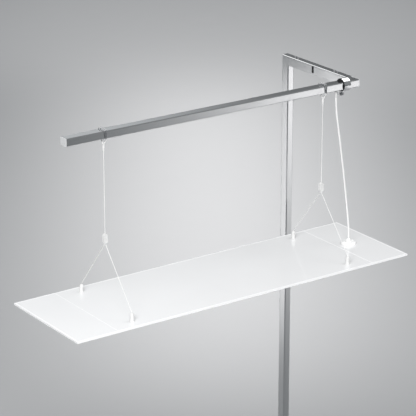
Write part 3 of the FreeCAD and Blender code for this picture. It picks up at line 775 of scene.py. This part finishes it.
floor = make_floor()
ON_FLOOR = collection_of("lit_floor", [floor])
ON_OBJECT = collection_of("lit_object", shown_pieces())
SLING_NAMES = ("left_sling", "right_sling", "left_sling_turn", "right_sling_turn")
ON_FITTINGS = collection_of("lit_fittings", [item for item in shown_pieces() if item.name in (
    "collar_ring", "clamp_grip", "arm_screws", *SLING_NAMES)])
ON_EDGES = collection_of("lit_edges", [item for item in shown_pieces() if item.name in (
    "arm_tube", *SLING_NAMES)])


POOL_TINT = (1.08, 1.02, 0.99)


def area_light(name, place, aim, size, power, receivers, glossy, blockers=None, color=(1, 1, 1)):
    """Rectangular light that falls only on its receivers; power in watts."""
    data = bpy.data.lights.new(name, "AREA")
    data.shape = "RECTANGLE"
    data.size, data.size_y = size
    data.energy = power
    data.color = color
    light = bpy.data.objects.new(name, data)
    scene.collection.objects.link(light)
    light.location = place
    light.rotation_euler = (Vector(aim) - Vector(place)).to_track_quat("-Z", "Y").to_euler()
    light.visible_camera = False
    light.visible_glossy = glossy
    light.light_linking.receiver_collection = receivers
    if blockers:
        light.light_linking.blocker_collection = blockers
    return light


def floor_pool(name, centre, heading, size, height, power):
    """Soft pool of light on the floor, long along a heading in degrees from +X."""
    light = area_light(name, (*centre, height), (*centre, 0), size, power,
                       ON_FLOOR, False, ON_FLOOR, POOL_TINT)
    light.rotation_euler = (0, 0, math.radians(heading))
    return light


def make_lights():
    floor_pool("pool_behind", (1.9, 3.2), 56, (5.5, 0.1), 1.6, 76)
    floor_pool("pool_far", (4.6, 7.1), -40, (5.0, 4.0), 1.2, 40)
    floor_pool("pool_right", (3.6, -3.8), 110, (7.0, 1.6), 1.0, 134)
    floor_pool("pool_left", (-3.0, 3.3), 128, (5.0, 0.1), 0.75, 60)
    area_light("key", (-4.5, -4.5, 5.0), (-0.6, -0.4, 1.3), (4.0, 3.0), 580, ON_OBJECT, False)
    area_light("fill", (1.5, -1.5, 4.5), (0.2, -0.4, 1.3), (1.6, 1.6), 54, ON_OBJECT, False)
    area_light("overhead", (2.6, 0.2, 6.0), (0.0, -0.4, 1.9), (5.0, 4.0), 200, ON_FITTINGS, True)
    area_light("edge", (-1.0, 3.1, 4.2), (0.0, -0.2, 2.0), (3.0, 2.2), 30, ON_EDGES, True)


WALL_LEVEL = 0.30
# Each patch: azimuth and elevation, the angles where it starts and ends to fade, and its level.
WALL_PATCHES = [
    ((64.0, 17.0), 4.0, 13.0, 0.62),
    ((44.0, 15.0), 5.0, 14.0, 0.17),
]


def sky_patch(tree, direction, near, far):
    """1 inside a cone about a horizontal-ish direction, falling to 0 between two angles in degrees."""
    place = tree.nodes.new("ShaderNodeTexCoord")
    unit = tree.nodes.new("ShaderNodeVectorMath")
    unit.operation = "NORMALIZE"
    tree.links.new(place.outputs["Generated"], unit.inputs[0])
    dot = tree.nodes.new("ShaderNodeVectorMath")
    dot.operation = "DOT_PRODUCT"
    azimuth, elevation = (math.radians(angle) for angle in direction)
    dot.inputs[1].default_value = (math.cos(elevation) * math.cos(azimuth),
                                   math.cos(elevation) * math.sin(azimuth), math.sin(elevation))
    tree.links.new(unit.outputs["Vector"], dot.inputs[0])
    fall = tree.nodes.new("ShaderNodeMapRange")
    fall.interpolation_type = "SMOOTHSTEP"
    fall.inputs["From Min"].default_value = math.cos(math.radians(far))
    fall.inputs["From Max"].default_value = math.cos(math.radians(near))
    tree.links.new(dot.outputs["Value"], fall.inputs["Value"])
    return fall.outputs["Result"]


def make_world():
    """Soft grey surround with a brighter patch behind the stand and a darker one beside it."""
    world = bpy.data.worlds.new("studio")
    scene.world = world
    world.use_nodes = True
    tree = world.node_tree
    background = tree.nodes["Background"]
    background.inputs["Color"].default_value = (0.96, 0.995, 1.02, 1)
    level = None
    for direction, near, far, patch_level in WALL_PATCHES:
        mix = tree.nodes.new("ShaderNodeMix")
        mix.inputs["A"].default_value = WALL_LEVEL
        if level is not None:
            tree.links.new(level, mix.inputs["A"])
        mix.inputs["B"].default_value = patch_level
        tree.links.new(sky_patch(tree, direction, near, far), mix.inputs["Factor"])
        level = mix.outputs["Result"]
    tree.links.new(level, background.inputs["Strength"])


make_lights()
make_world()
